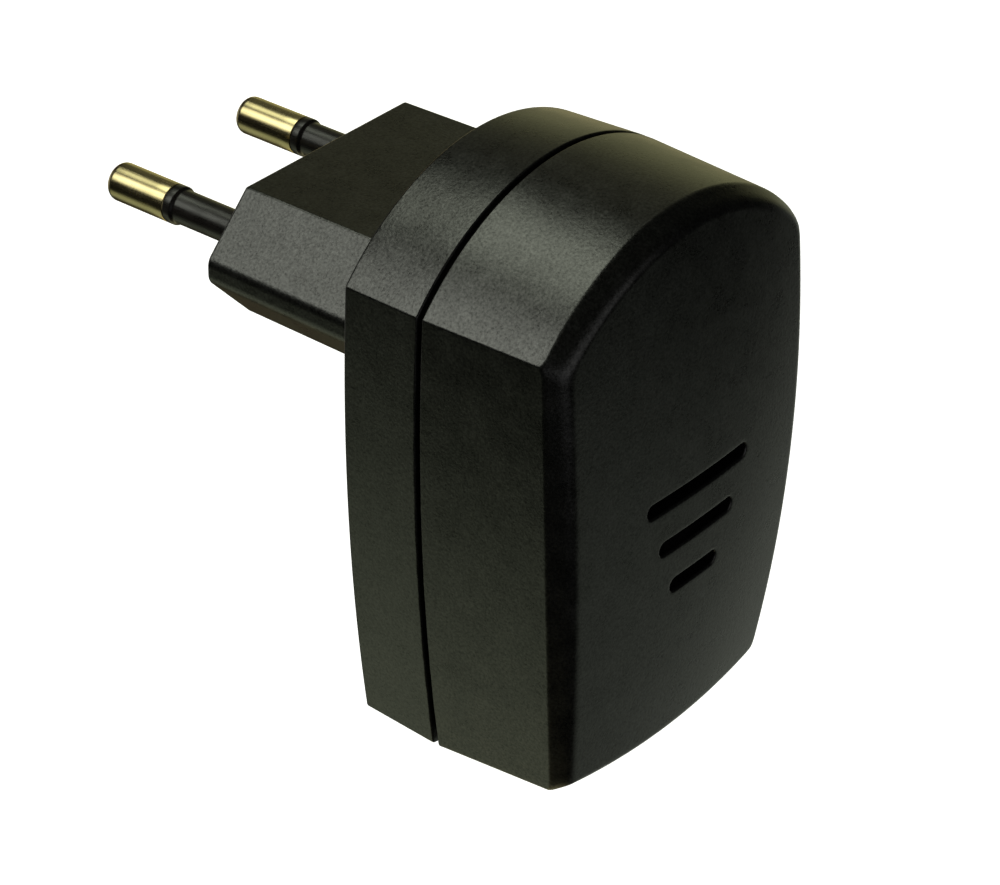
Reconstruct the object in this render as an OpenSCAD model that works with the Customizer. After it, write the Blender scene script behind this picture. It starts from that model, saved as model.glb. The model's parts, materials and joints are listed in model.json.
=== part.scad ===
// Plug-in ultrasonic pest repeller: a two-shell case with a two-pin Europlug on its back.
// X points right as seen from the front, Y points into the wall socket and Z points up.
// The origin is the centre of the plug nose's end face, midway between the two pins.

/* [Case] */
// Half the case's width at its two upper corners
top_half = 20; // [19.6:0.1:20.4]
// Height of the upper corners above the pins' centre line
top_z = 6.4; // [6:0.1:6.8]
// Half the case's width at its two lower corners
bottom_half = 16.6; // [16.4:0.1:16.8]
// Height of the lower corners, below the pins' centre line
bottom_z = -43; // [-43.6:0.1:-42.6]
// Rise of the arched top above its corners
top_rise = 9.2; // [9:0.1:9.4]
// Drop of the curved underside below its corners
bottom_rise = 1.7; // [1.5:0.1:1.9]
// Outward bow of each side
side_rise = 1.3; // [1.1:0.1:1.4]
// Depth of the rear shell's side walls
rear_depth = 8.9; // [8.6:0.1:9.2]
// Width of the groove that shows between the two shells
groove = 0.5; // [0.4:0.1:0.7]
// Depth of the front shell from the groove to its crisp front edge
front_depth = 13.3; // [13:0.1:13.6]
// Thickness of the moulded walls
wall = 2.2; // [2:0.1:2.3]

/* [Front face] */
// How far the front shell's walls lean in by the crisp edge
front_draft = 0.66; // [0.5:0.02:0.8]
// How far the rear shell's walls lean in by the back face
rear_draft = 0.34; // [0.2:0.02:0.5]
// Slope of the bevels at the sides and the bottom, measured from the face
bevel_slope = 57; // [56:0.5:58]
// Slope of the bevel under the arched top, measured from the face
arch_slope = 60; // [58:1:62]
// Forward bow of the crisp edge along each side
side_bow = 1; // [0.9:0.05:1.1]
// How far the face's foremost point stands in front of the crisp edge's corners
face_reach = 4.4; // [4.3:0.05:4.5]
// Height of the face's foremost point, against the pins' centre line
crown_z = -15.5; // [-16.5:0.5:-14.5]
// Radius of the face's crown from top to bottom
crown_tall = 200; // [195:1:205]
// Radius of the face's crown from side to side
crown_wide = 132; // [128:1:136]

/* [Sound slots] */
// Width of each slot
slot_width = 1.5; // [1.2:0.1:1.8]
// Distance from one slot to the next
slot_pitch = 5.05; // [4.8:0.05:5.3]
// Height of the longest and highest slot
slot_top_z = -13.3; // [-13.8:0.1:-12.8]
// Length of the longest slot between the centres of its round ends
slot_longest = 14.2; // [13.6:0.2:14.8]
// How much shorter each slot is than the one above
slot_step = 4.2; // [4:0.1:4.4]

/* [Plug] */
// Distance between the pins' centres
pin_spacing = 19; // [18.8:0.1:19.2]
// Radius of a contact pin
pin_radius = 2; // [1.97:0.01:2.03]
// Length of a pin beyond the nose
pin_length = 19; // [18.5:0.5:19.5]
// Length of the insulating sleeve beyond the nose, with its collar
sleeve_length = 11.3; // [10.8:0.1:11.6]
// Radius of the sleeve
sleeve_radius = 1.75; // [1.7:0.05:1.8]
// Length of the collar at the sleeve's outer end
collar_length = 1; // [0.9:0.1:1.2]
// Length of the plug nose behind the case
nose_length = 19; // [18.6:0.1:19.4]
// Half the nose's width at its narrow sides
nose_half = 17.9; // [17.7:0.1:18.1]
// Half the height of the nose's narrow sides
nose_side_half = 1.1; // [1.1:0.1:1.3]
// Half the width of the nose's flat top
nose_flat_half = 12.1; // [11.9:0.1:12.3]
// Half the nose's height
nose_half_height = 6.95; // [6.8:0.05:7.05]

/* [Inside] */
// Thickness of the circuit board
board_thick = 1.6; // [1.4:0.1:1.6]
// Clear space between the rear wall and the board
board_standoff = 3.8; // [3.6:0.1:4]
// Radius of the sound transducer
transducer_radius = 14; // [13.8:0.1:14.1]
// Depth of the transducer's cup
transducer_depth = 8.3; // [8:0.1:8.6]

/* [Hidden] */
$fa = 1;
$fs = 0.25;

// Depths of the case along Y, from the wall side to the room side
rear_y = -nose_length;
rear_rim_y = rear_y - rear_depth;
front_rim_y = rear_rim_y - groove;
edge_y = front_rim_y - front_depth;
rear_inner_y = rear_y - wall;
board_rear_y = rear_inner_y - board_standoff;
board_front_y = board_rear_y - board_thick;

// Outline corners as [x, z], clockwise from the upper left, with each edge's rise
corners = [[-top_half, top_z], [top_half, top_z], [bottom_half, bottom_z], [-bottom_half, bottom_z]];
rises = [top_rise, side_rise, bottom_rise, side_rise];
function chord(i) = corners[(i + 1) % 4] - corners[i];
function half_chord(i) = norm(chord(i)) / 2;
function inward(i) = [chord(i)[1], -chord(i)[0]] / norm(chord(i));
function middle(i) = (corners[i] + corners[(i + 1) % 4]) / 2;
function arc_radius(i) = (half_chord(i) ^ 2 + rises[i] ^ 2) / (2 * rises[i]);
function arc_centre(i) = middle(i) + inward(i) * (arc_radius(i) - rises[i]);

// Depth of the face's foremost point
face_y = edge_y - face_reach;

// The bevel beside each side edge is part of a large ball
ball_reach = side_rise * sin(bevel_slope) + side_bow * cos(bevel_slope);
ball_radius = (half_chord(1) ^ 2 + side_rise ^ 2 + side_bow ^ 2) / (2 * ball_reach);

// Fastening places as [x, z]
screw_places = [[0, 11.1], [-11.5, -38.4], [11.5, -38.4]];
board_screw_places = [[-12.2, 2.5], [12.2, -26.5]];
peg_places = [[13.2, -4.2], [-12.6, -29.5]];
screw_head_y = rear_y - 4;
pillar_y = front_rim_y + 0.4;
boss_radius = 3.3;
pilot_depth = 11;

// Radius of a pin's shank where the nose holds it
shank_radius = pin_radius + 0.3;

// The transducer lies behind the middle slot
transducer_z = slot_top_z - slot_pitch;
gasket_thick = 1.2;
gasket_y = face_y + wall + transducer_radius ^ 2 / (2 * crown_wide) + 0.1;
cup_front_y = gasket_y + gasket_thick;
cup_rear_y = cup_front_y + transducer_depth;
cup_wall = 1.2;
plate_y = cup_rear_y - cup_wall - 2.4;

case_color = "#1b1c19";
pin_color = "#d9c79a";
lead_color = "#c9c9c4";
lead_radius = 0.3;
far = 80;

// Steps round a full turn of the case's large arcs
arc_steps = 360;

// Places its children on the front of the board at [x, z], with +Z away from the board
module on_board(x, z, turn = 0) {
    translate([x, board_front_y, z])
        rotate([90, 0, 0])
        rotate([0, 0, turn])
        children();
}

// A round bar along Y from a rear end to a front end
module bar(x, z, rear, front, r) {
    translate([x, rear, z])
        rotate([90, 0, 0])
        cylinder(h = rear - front, r = r);
}

// A cone along Y round the centre of an outline edge, inset by its own amount at each end
module edge_cone(i, rear, front, rear_inset, front_inset) {
    translate([arc_centre(i)[0], rear, arc_centre(i)[1]])
        rotate([90, 0, 0])
        cylinder(h = rear - front, r1 = arc_radius(i) - rear_inset,
            r2 = arc_radius(i) - front_inset, $fn = arc_steps);
}

// The space under the arched top: its cone, and everything lower than the arch's centre
module under_top(rear, front, rear_inset, front_inset) {
    edge_cone(0, rear, front, rear_inset, front_inset);
    translate([-far / 2, front, -far])
        cube([far, rear - front, far + arc_centre(0)[1]]);
}

// The case's outline between two depths, inset by its own amount at each of them
module case_block(rear, front, rear_inset, front_inset) {
    intersection() {
        under_top(rear, front, rear_inset, front_inset);
        edge_cone(1, rear, front, rear_inset, front_inset);
        edge_cone(2, rear, front, rear_inset, front_inset);
        edge_cone(3, rear, front, rear_inset, front_inset);
    }
}

// Everything behind the crowned face, set back by skin
module behind_face(skin) {
    translate([0, face_y + crown_tall, crown_z])
        rotate([0, 90, 0])
        rotate_extrude($fn = arc_steps)
        intersection() {
            translate([crown_tall - crown_wide, 0])
                circle(r = crown_wide - skin, $fn = arc_steps);
            translate([0, -crown_wide])
                square([crown_tall + 1, 2 * crown_wide]);
        }
}

// Everything behind the bevel of the left (3) or right (1) side
module behind_side_bevel(i) {
    edge_point = middle(i) - inward(i) * (side_rise - front_draft);
    across = inward(i) * ball_radius * sin(bevel_slope);
    depth = ball_radius * cos(bevel_slope);
    translate([edge_point[0] + across[0], edge_y - side_bow + depth, edge_point[1] + across[1]])
        sphere(r = ball_radius, $fn = arc_steps);
}

// The front shell's outside as a solid block
module front_block() {
    bevel_reach = 8;
    intersection() {
        case_block(front_rim_y, edge_y - bevel_reach, 0,
            front_draft * (front_depth + bevel_reach) / front_depth);
        under_top(front_rim_y, edge_y - bevel_reach,
            front_draft - front_depth / tan(arch_slope), front_draft + bevel_reach / tan(arch_slope));
        edge_cone(2, front_rim_y, edge_y - bevel_reach,
            front_draft - front_depth / tan(bevel_slope), front_draft + bevel_reach / tan(bevel_slope));
        behind_side_bevel(1);
        behind_side_bevel(3);
        behind_face(0);
    }
}

// A through slot with round ends
module slot(half, z) {
    for (side = [-1, 1])
        bar(side * half, z, face_y + 2 * wall, face_y - 1, slot_width / 2);
    translate([-half, face_y - 1, z - slot_width / 2])
        cube([2 * half, 2 * wall + 1, slot_width]);
}

module front_shell() {
    lip_y = rear_rim_y + 2;
    color(case_color)
    difference() {
        union() {
            difference() {
                front_block();
                intersection() {
                    case_block(front_rim_y, face_y, wall, wall + front_draft);
                    behind_face(wall);
                }
            }
            // Tongue that slides inside the rear shell's rim
            difference() {
                case_block(lip_y, front_rim_y - 1, wall / 2, wall / 2);
                case_block(lip_y + 1, front_rim_y - 2, wall, wall);
                for (p = screw_places)
                    bar(p[0], p[1], lip_y + 1, pillar_y, boss_radius + 0.15);
            }
            // Screw pillars and the transducer's seat, which end inside the front wall
            intersection() {
                case_block(rear_rim_y, face_y, wall / 2, wall / 2 + front_draft);
                behind_face(wall - 0.6);
                union() {
                    for (p = screw_places)
                        bar(p[0], p[1], pillar_y, face_y, 3);
                    difference() {
                        bar(0, transducer_z, cup_front_y + 4, face_y, transducer_radius + 1.4);
                        bar(0, transducer_z, cup_front_y + 5, face_y - 1, transducer_radius + 0.1);
                    }
                }
            }
        }
        for (p = screw_places)
            bar(p[0], p[1], pillar_y + 1, pillar_y - pilot_depth, 1.2);
        for (i = [0:2])
            slot((slot_longest - i * slot_step) / 2, slot_top_z - i * slot_pitch);
    }
}

// The nose's outline, inset by skin
module nose_outline(skin) {
    lean = atan((nose_half - nose_flat_half) / (nose_half_height - nose_side_half));
    side = nose_side_half - skin * tan(lean / 2);
    flat = nose_flat_half - skin * tan((90 - lean) / 2);
    x = nose_half - skin;
    z = nose_half_height - skin;
    polygon([[-x, side], [-flat, z], [flat, z], [x, side], [x, -side], [flat, -z], [-flat, -z], [-x, -side]]);
}

module rear_shell() {
    nose_taper = 0.975;
    end_wall = 3;
    color(case_color)
    difference() {
        union() {
            difference() {
                union() {
                    case_block(rear_y, rear_rim_y, rear_draft, 0);
                    // Plug nose, narrower at its end
                    translate([0, rear_y - 1, 0])
                        rotate([-90, 0, 0])
                        linear_extrude(height = nose_length + 1, scale = nose_taper)
                        nose_outline(0);
                }
                case_block(rear_inner_y, rear_rim_y - 1, wall, wall);
                // Rebate for the front shell's tongue
                case_block(rear_rim_y + 2.2, rear_rim_y - 1, wall / 2 - 0.1, wall / 2 - 0.1);
                // Hollow of the nose
                translate([0, -end_wall, 0])
                    rotate([90, 0, 0])
                    linear_extrude(height = rear_depth + nose_length - end_wall)
                    nose_outline(2.4);
            }
            for (side = [-1, 1])
                bar(side * pin_spacing / 2, 0, -end_wall + 1, -9, 3.6);
            for (p = screw_places)
                bar(p[0], p[1], rear_y - 1, pillar_y, boss_radius);
            for (p = concat(board_screw_places, peg_places))
                bar(p[0], p[1], rear_y - 1, board_rear_y, 2);
            for (p = peg_places)
                bar(p[0], p[1], rear_y - 1, board_front_y - 0.6, 0.9);
        }
        for (side = [-1, 1]) {
            bar(side * pin_spacing / 2, 0, 1, -1.5, sleeve_radius);
            bar(side * pin_spacing / 2, 0, -1.5, -10, shank_radius);
        }
        for (p = screw_places) {
            bar(p[0], p[1], rear_y + 1, screw_head_y, 2.8);
            bar(p[0], p[1], screw_head_y + 1, pillar_y - 1, 1.6);
        }
        for (p = board_screw_places)
            bar(p[0], p[1], rear_y - 1.4, board_rear_y - 1, 0.8);
    }
}

// A pan-head self-tapping screw whose head's underside is at z = 0 and whose tip points up
module screw(head_r, head_h, shank_r, length) {
    difference() {
        rotate_extrude()
            polygon([[0, -head_h], [head_r * 0.62, -head_h], [head_r, -head_h * 0.35], [head_r, 0],
                [shank_r, 0], [shank_r, length - 2 * shank_r], [0, length]]);
        for (turn = [0, 90])
            rotate([0, 0, turn])
            translate([-head_r * 0.55, -head_r * 0.11, -head_h - 1])
            cube([head_r * 1.1, head_r * 0.22, head_h * 0.6 + 1]);
    }
}

module case_screws() {
    color("#8d8f90")
    for (p = screw_places)
        translate([p[0], screw_head_y, p[1]])
        rotate([90, 0, 0])
        screw(2.6, 1.8, 1.3, 13);
}

module board_screws() {
    color("#8d8f90")
    for (p = board_screw_places)
        translate([p[0], board_front_y, p[1]])
        rotate([-90, 0, 0])
        screw(1.9, 1.3, 0.9, board_thick + 3.2);
}

// A turned contact pin: rounded tip, waist under the sleeve, shank in the nose and solder stub
module plug_pin(side) {
    tip_round = 0.9;
    waist = 1.3;
    color(pin_color)
    translate([side * pin_spacing / 2, 0, 0])
        rotate([-90, 0, 0])
        rotate_extrude() {
            translate([0, -13])
                square([1, pin_length + 13 - tip_round]);
            translate([0, -9])
                square([shank_radius, 7.5]);
            translate([0, -1.5])
                square([waist, sleeve_length + 1.5]);
            translate([0, sleeve_length])
                square([pin_radius, pin_length - sleeve_length - tip_round]);
            translate([0, pin_length - tip_round - 0.1])
                square([pin_radius - tip_round, tip_round + 0.1]);
            intersection() {
                translate([pin_radius - tip_round, pin_length - tip_round])
                    circle(r = tip_round);
                translate([pin_radius - tip_round, pin_length - tip_round])
                    square([tip_round, tip_round]);
            }
        }
}
module plug_pin_left() {
    plug_pin(-1);
}
module plug_pin_right() {
    plug_pin(1);
}

// An insulating sleeve on a pin's waist, with a collar as wide as the pin
module pin_sleeve(side) {
    waist = 1.3;
    color("#141416")
    translate([side * pin_spacing / 2, 0, 0])
        rotate([-90, 0, 0])
        rotate_extrude() {
            translate([waist, -1.5])
                square([sleeve_radius - waist, sleeve_length + 1.5]);
            translate([waist, sleeve_length - collar_length])
                square([pin_radius - waist, collar_length]);
        }
}
module pin_sleeve_left() {
    pin_sleeve(-1);
}
module pin_sleeve_right() {
    pin_sleeve(1);
}

// A smooth curve through hand-placed points, with steps points to each stretch
function between(p, i, t) =
    let (a = p[max(i - 1, 0)], b = p[i], c = p[i + 1], d = p[min(i + 2, len(p) - 1)])
    0.5 * (2 * b + (c - a) * t + (2 * a - 5 * b + 4 * c - d) * t ^ 2 + (3 * b - a - 3 * c + d) * t ^ 3);
function curve(p, steps) = concat(
    [for (i = [0:len(p) - 2]) for (k = [0:steps - 1]) between(p, i, k / steps)], [p[len(p) - 1]]);
function heading(p, i) =
    let (v = p[min(i + 1, len(p) - 1)] - p[max(i - 1, 0)])
    v / norm(v);

// A lead of round section along a route
module lead(route, r) {
    sides = 10;
    path = curve(route, 3);
    last = len(path) - 1;
    points = [for (i = [0:last])
        let (t = heading(path, i), u = cross(t, [1, 0, 0.3]) / norm(cross(t, [1, 0, 0.3])), v = cross(t, u))
        for (k = [0:sides - 1]) path[i] + r * (cos(360 * k / sides) * u + sin(360 * k / sides) * v)];
    walls = [for (i = [0:last - 1]) for (k = [0:sides - 1])
        let (n = (k + 1) % sides)
        [i * sides + k, i * sides + n, (i + 1) * sides + n, (i + 1) * sides + k]];
    polyhedron(points, concat(walls,
        [[for (k = [sides - 1:-1:0]) k], [for (k = [0:sides - 1]) last * sides + k]]));
}

// Leads from the pins' solder stubs to the back of the board
live_route = [[-9.5, -13, 0], [-9.5, -14, 0], [-9.5, -15, 0], [-9, -18, 1], [-8, -21, 1],
    [-7, -23, 0], [-7, -24, 0], [-7, board_rear_y, 0]];
neutral_route = [[9.5, -13, 0], [9.5, -14, 0], [9.5, -15, 0], [9, -18, -1], [8, -21, -1],
    [7, -23, 0], [7, -24, 0], [7, board_rear_y, 0]];
module mains_lead_live() {
    color("#6b4328")
    lead(live_route, 0.75);
}
module mains_lead_neutral() {
    color("#2f5f9e")
    lead(neutral_route, 0.75);
}

module circuit_board() {
    color("#b98a4a")
    difference() {
        translate([0, board_rear_y, 0])
            rotate([90, 0, 0])
            linear_extrude(height = board_thick)
            polygon([[-15.4, 7], [15.4, 7], [14.6, -33.4], [7.2, -33.4], [7.2, -41], [-7.2, -41],
                [-7.2, -33.4], [-14.6, -33.4]]);
        for (p = board_screw_places)
            bar(p[0], p[1], board_rear_y + 1, board_front_y - 1, 1);
        for (p = peg_places)
            bar(p[0], p[1], board_rear_y + 1, board_front_y - 1, 1);
    }
}

// A component's two wire legs, gap apart and length long
module legs(gap, length) {
    for (side = [-1, 1])
        translate([side * gap / 2, 0, 0])
        cylinder(h = length, r = lead_radius);
}

// An axial component lying along X: its body, and wires that bend down to the board
module axial_body(length, r, height) {
    translate([0, 0, height])
        rotate([0, 90, 0])
        cylinder(h = length, r = r, center = true);
}
module axial_wires(span, height) {
    legs(span, height);
    translate([0, 0, height])
        rotate([0, 90, 0])
        cylinder(h = span + 2 * lead_radius, r = lead_radius, center = true);
}

module film_capacitor() {
    color("#e3b21c")
    on_board(-2, 2.5) {
        difference() {
            translate([-6.5, -3, 0.4])
                cube([13, 6, 12]);
            translate([-5.9, -2.4, 0.3])
                cube([11.8, 4.8, 0.6]);
        }
        legs(10, 1.2);
    }
}

module fusible_resistor() {
    color("#7f8a86")
    on_board(-8, -6) {
        axial_body(9, 1.75, 2.4);
        axial_wires(12.5, 2.4);
    }
}

// Places of the small resistors as [x, z, turn]
resistor_places = [[-9, -11.5, 0], [-9, -15, 0], [-9, -18.5, 0], [-9, -22, 0],
    [8.6, -16, 90], [11.6, -16, 90]];
module resistors() {
    color("#d8c49a")
    for (p = resistor_places)
        on_board(p[0], p[1], p[2]) {
            axial_body(6.3, 1.15, 1.6);
            axial_wires(9, 1.6);
        }
}

module rectifier_diodes() {
    color("#222222")
    for (i = [0:3])
        on_board(1.4 + 3 * i, -6.2, 90) {
            axial_body(5.2, 1.3, 1.7);
            axial_wires(7.6, 1.7);
        }
}

module zener_diode() {
    color("#c8642a")
    on_board(3.4, -12.6) {
        axial_body(4.2, 1.1, 1.5);
        axial_wires(7, 1.5);
    }
}

// A standing electrolytic capacitor with a scored vent and a crimped foot
module electrolytic(r, height, gap) {
    difference() {
        union() {
            translate([0, 0, 0.6])
                cylinder(h = height, r = r);
            legs(gap, 1);
        }
        translate([0, 0, 2])
            rotate_extrude()
            translate([r + 0.15, 0])
            circle(r = 0.45);
        for (turn = [0, 90])
            rotate([0, 0, turn])
            translate([-r * 0.7, -0.1, height + 0.45])
            cube([r * 1.4, 0.2, 1]);
    }
}

module smoothing_capacitor() {
    color("#20335c")
    on_board(9.3, 2.2)
        electrolytic(3.9, 11.5, 3.5);
}

module coupling_capacitor() {
    color("#20335c")
    on_board(-4.6, -37.6)
        electrolytic(2.5, 11, 2);
}

// Places of the ceramic disc capacitors as [x, z, turn]
ceramic_places = [[-11.6, -25.6, 0], [5, -25.2, 0], [-2.2, -12.6, 90]];
module ceramic_capacitors() {
    color("#c97a33")
    for (p = ceramic_places)
        on_board(p[0], p[1], p[2]) {
            translate([0, 0, 3.3])
                rotate([90, 0, 0])
                cylinder(h = 2, r = 2.5, center = true);
            legs(2.5, 2);
        }
}

module oscillator_chip() {
    length = 9.8;
    pitch = 2.54;
    row = 3.81;
    color("#1d1d1f")
    on_board(2.4, -19.4) {
        difference() {
            translate([-length / 2, 0, 0.5])
                rotate([90, 0, 90])
                linear_extrude(height = length)
                polygon([[-3, 0], [3, 0], [3.2, 1.6], [3, 3.3], [-3, 3.3], [-3.2, 1.6]]);
            // Half-round mark at the end of pin 1
            translate([-length / 2, 0, 3.3])
                cylinder(h = 1, r = 0.9);
        }
        for (side = [-1, 1])
            for (i = [0:3])
                translate([(i - 1.5) * pitch, side * row, 0]) {
                    translate([-0.25, -0.13, 0])
                        cube([0.5, 0.26, 2.3]);
                    translate([-0.6, side > 0 ? -0.7 : -0.13, 1.9])
                        cube([1.2, 0.83, 0.26]);
                }
    }
}

module drive_transistors() {
    color("#1d1d1f")
    for (x = [-3.4, 2])
        on_board(x, -28.6) {
            difference() {
                translate([0, 0, 1.2])
                    cylinder(h = 4.5, r = 2.3);
                translate([-3, 1.3, 1])
                    cube([6, 3, 5]);
            }
            for (i = [-1:1])
                translate([1.27 * i, 0, 0])
                cylinder(h = 1.4, r = 0.25);
        }
}

// Step-up coil: a ferrite bobbin with the winding in its waist
coil_place = [3.6, -37.8];
coil_radius = 3.3;
coil_height = 10;
coil_waist = 1.6;
coil_flange = 1.2;
module coil_core() {
    color("#3a3a3c")
    on_board(coil_place[0], coil_place[1]) {
        translate([0, 0, 0.5])
            cylinder(h = coil_height, r = coil_waist);
        for (z = [0.5, 0.5 + coil_height - coil_flange])
            translate([0, 0, z])
            cylinder(h = coil_flange, r = coil_radius);
        legs(4, 1);
    }
}
module coil_winding() {
    color("#a8552a")
    on_board(coil_place[0], coil_place[1])
        translate([0, 0, 0.5 + coil_flange])
        difference() {
            cylinder(h = coil_height - 2 * coil_flange, r = coil_radius - 0.3);
            translate([0, 0, -1])
                cylinder(h = coil_height, r = coil_waist);
        }
}

// A turned part of the transducer, drawn as [radius, distance from the front] and placed on its axis
module transducer_ring(y) {
    translate([0, y, transducer_z])
        rotate([-90, 0, 0])
        rotate_extrude()
        children();
}

module transducer_gasket() {
    color("#2a2a2a")
    transducer_ring(gasket_y)
        translate([transducer_radius - 2.6, 0])
        square([2.5, gasket_thick]);
}

module transducer_housing() {
    step_r = transducer_radius - 3.4;
    color("#2b2d30")
    difference() {
        transducer_ring(cup_front_y)
            polygon([[transducer_radius - cup_wall, 0], [transducer_radius, 0],
                [transducer_radius, transducer_depth], [0, transducer_depth],
                [0, transducer_depth - cup_wall], [step_r, transducer_depth - cup_wall],
                [step_r, plate_y - cup_front_y], [transducer_radius - cup_wall, plate_y - cup_front_y]]);
        for (side = [-1, 1])
            bar(side * 5, transducer_z, cup_rear_y + 1, plate_y, 0.9);
    }
}

module transducer_cone() {
    rim = transducer_radius - cup_wall;
    depth = plate_y - cup_front_y;
    skin = 0.3;
    color("#c7c9cc")
    transducer_ring(cup_front_y)
        polygon([[1.5, depth], [1.5, depth - skin], [rim - 1, 0.4], [rim, 0.4], [rim, 0.4 + skin],
            [rim - 1, 0.4 + skin], [3, depth]]);
}

piezo_plate_thick = 0.3;
piezo_plate_radius = 10.2;
module piezo_plate() {
    color("#c9a24a")
    bar(0, transducer_z, plate_y + piezo_plate_thick, plate_y, piezo_plate_radius);
}

module piezo_ceramic() {
    color("#e9e6dc")
    bar(0, transducer_z, plate_y + piezo_plate_thick + 0.25, plate_y + piezo_plate_thick, 7.2);
}

module transducer_terminals() {
    color("#c9c9c4")
    for (side = [-1, 1])
        translate([side * 5, 0, transducer_z]) {
            translate([-0.3, plate_y + 1.1, -0.6])
                cube([0.6, cup_rear_y + 1 - plate_y - 1.1, 1.2]);
            translate([-1.2, cup_rear_y, -1.2])
                cube([2.4, 0.3, 2.4]);
        }
}

// Leads from the transducer's terminals to the front of the board
red_route = [[-5, cup_rear_y + 0.9, transducer_z - 0.6], [-5.6, cup_rear_y + 1.4, transducer_z - 3],
    [-7.2, -31.5, -28], [-7.4, -30, -31], [-7.4, -28.6, -31.6], [-7.4, -27.6, -31.6],
    [-7.4, board_front_y, -31.6]];
black_route = [[5, cup_rear_y + 0.9, transducer_z - 0.6], [6.6, cup_rear_y + 1.4, transducer_z - 3],
    [9.6, -31.5, -27], [9.6, -30, -30.4], [9.6, -28.6, -31], [9.6, -27.6, -31],
    [9.6, board_front_y, -31]];
module transducer_lead_red() {
    color("#a82018")
    lead(red_route, 0.5);
}
module transducer_lead_black() {
    color("#1a1a1a")
    lead(black_route, 0.5);
}

rear_shell();
front_shell();
case_screws();
plug_pin_left();
plug_pin_right();
pin_sleeve_left();
pin_sleeve_right();
mains_lead_live();
mains_lead_neutral();
circuit_board();
board_screws();
film_capacitor();
fusible_resistor();
resistors();
rectifier_diodes();
zener_diode();
smoothing_capacitor();
coupling_capacitor();
ceramic_capacitors();
oscillator_chip();
drive_transistors();
coil_core();
coil_winding();
transducer_housing();
transducer_cone();
piezo_plate();
piezo_ceramic();
transducer_gasket();
transducer_terminals();
transducer_lead_red();
transducer_lead_black();
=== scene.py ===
"""Looks for a plug-in ultrasonic pest repeller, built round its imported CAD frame."""

import json
import math

import bmesh
import bpy
import numpy as np
from mathutils import Matrix, Vector
from mathutils.geometry import delaunay_2d_cdt


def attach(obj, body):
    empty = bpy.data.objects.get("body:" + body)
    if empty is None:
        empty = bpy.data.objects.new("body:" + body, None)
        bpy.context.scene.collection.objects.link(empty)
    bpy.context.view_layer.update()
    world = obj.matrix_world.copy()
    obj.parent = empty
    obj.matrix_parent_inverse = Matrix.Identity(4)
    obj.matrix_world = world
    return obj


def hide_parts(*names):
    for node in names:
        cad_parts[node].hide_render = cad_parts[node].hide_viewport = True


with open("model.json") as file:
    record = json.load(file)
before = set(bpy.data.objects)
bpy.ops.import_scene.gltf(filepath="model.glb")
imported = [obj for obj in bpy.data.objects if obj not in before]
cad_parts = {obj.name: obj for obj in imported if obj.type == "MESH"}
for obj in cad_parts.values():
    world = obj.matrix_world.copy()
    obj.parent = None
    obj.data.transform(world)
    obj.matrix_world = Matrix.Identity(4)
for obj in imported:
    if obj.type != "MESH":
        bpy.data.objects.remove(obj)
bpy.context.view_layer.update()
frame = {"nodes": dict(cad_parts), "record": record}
nodes = frame["nodes"]

MM = 0.001

# ---------------------------------------------------------------- dimensions, in millimetres
# Outline corners as (x, z), clockwise from the upper left, and how far each edge bows out
CORNERS = np.array([(-20, 6.4), (20, 6.4), (16.6, -43), (-16.6, -43)], float)
RISES = (9.2, 1.3, 1.7, 1.3)
WALL = 2.2
REAR_Y, REAR_RIM_Y, FRONT_RIM_Y, EDGE_Y = -19.0, -27.9, -28.4, -41.7
REAR_DRAFT, FRONT_DRAFT = 0.34, 0.66
BEVEL_SLOPE, ARCH_SLOPE = math.radians(57), math.radians(60)
SIDE_BOW, FACE_REACH, CROWN_Z, CROWN_TALL, CROWN_WIDE = 1.0, 4.4, -15.5, 200.0, 132.0
BEVEL_BLEND, FACE_BLEND = 1.1, 0.95
SLOT_RADIUS, SLOT_PITCH, SLOT_TOP_Z, SLOT_HALVES = 0.75, 5.05, -13.3, (7.1, 5.0, 2.9)
SCREWS = ((0, 11.1), (-11.5, -38.4), (11.5, -38.4))
SCREW_HEAD_Y, PILLAR_Y = -23.0, -28.0
BOSS_RADIUS, NOTCH_RADIUS, PILLAR_RADIUS, POST_RADIUS = 3.3, 3.45, 3.0, 2.0
PILOT_RADIUS, PILOT_DEPTH, SCREW_HOLE_RADIUS = 1.2, 11.0, 1.6
BOARD_POSTS = ((-12.2, 2.5), (12.2, -26.5))
BOARD_PEGS = ((13.2, -4.2), (-12.6, -29.5))
BOARD_REAR_Y, BOARD_FRONT_Y = -25.0, -26.6
PIN_X, PIN_RADIUS, SLEEVE_RADIUS, SHANK_RADIUS, WAIST = 9.5, 2.0, 1.75, 2.3, 1.3
PIN_LENGTH, SLEEVE_LENGTH, COLLAR = 19.0, 11.3, 1.0
SLEEVE_ROOT_Y, SHANK_ROOT_Y = -1.5, -9.0
NOSE_HALF, NOSE_SIDE, NOSE_FLAT, NOSE_HEIGHT = 17.9, 1.1, 12.1, 6.95
NOSE_TAPER, NOSE_LENGTH = 0.975, 20.0
TRANSDUCER_Z, TRANSDUCER_RADIUS = SLOT_TOP_Z - SLOT_PITCH, 14.0

EDGE_STEPS, CORNER_STEPS = 72, 6


def arc_through(i):
    """Centre and radius of outline edge i."""
    a, b = CORNERS[i], CORNERS[(i + 1) % 4]
    chord = b - a
    half = np.linalg.norm(chord) / 2
    inward = np.array([chord[1], -chord[0]]) / (2 * half)
    radius = (half**2 + RISES[i] ** 2) / (2 * RISES[i])
    return (a + b) / 2 + inward * (radius - RISES[i]), radius, half, inward


ARCS = [arc_through(i) for i in range(4)]
FACE_Y = EDGE_Y - FACE_REACH
CUP_FRONT_Y = FACE_Y + WALL + TRANSDUCER_RADIUS**2 / (2 * CROWN_WIDE) + 0.1 + 1.2


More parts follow.
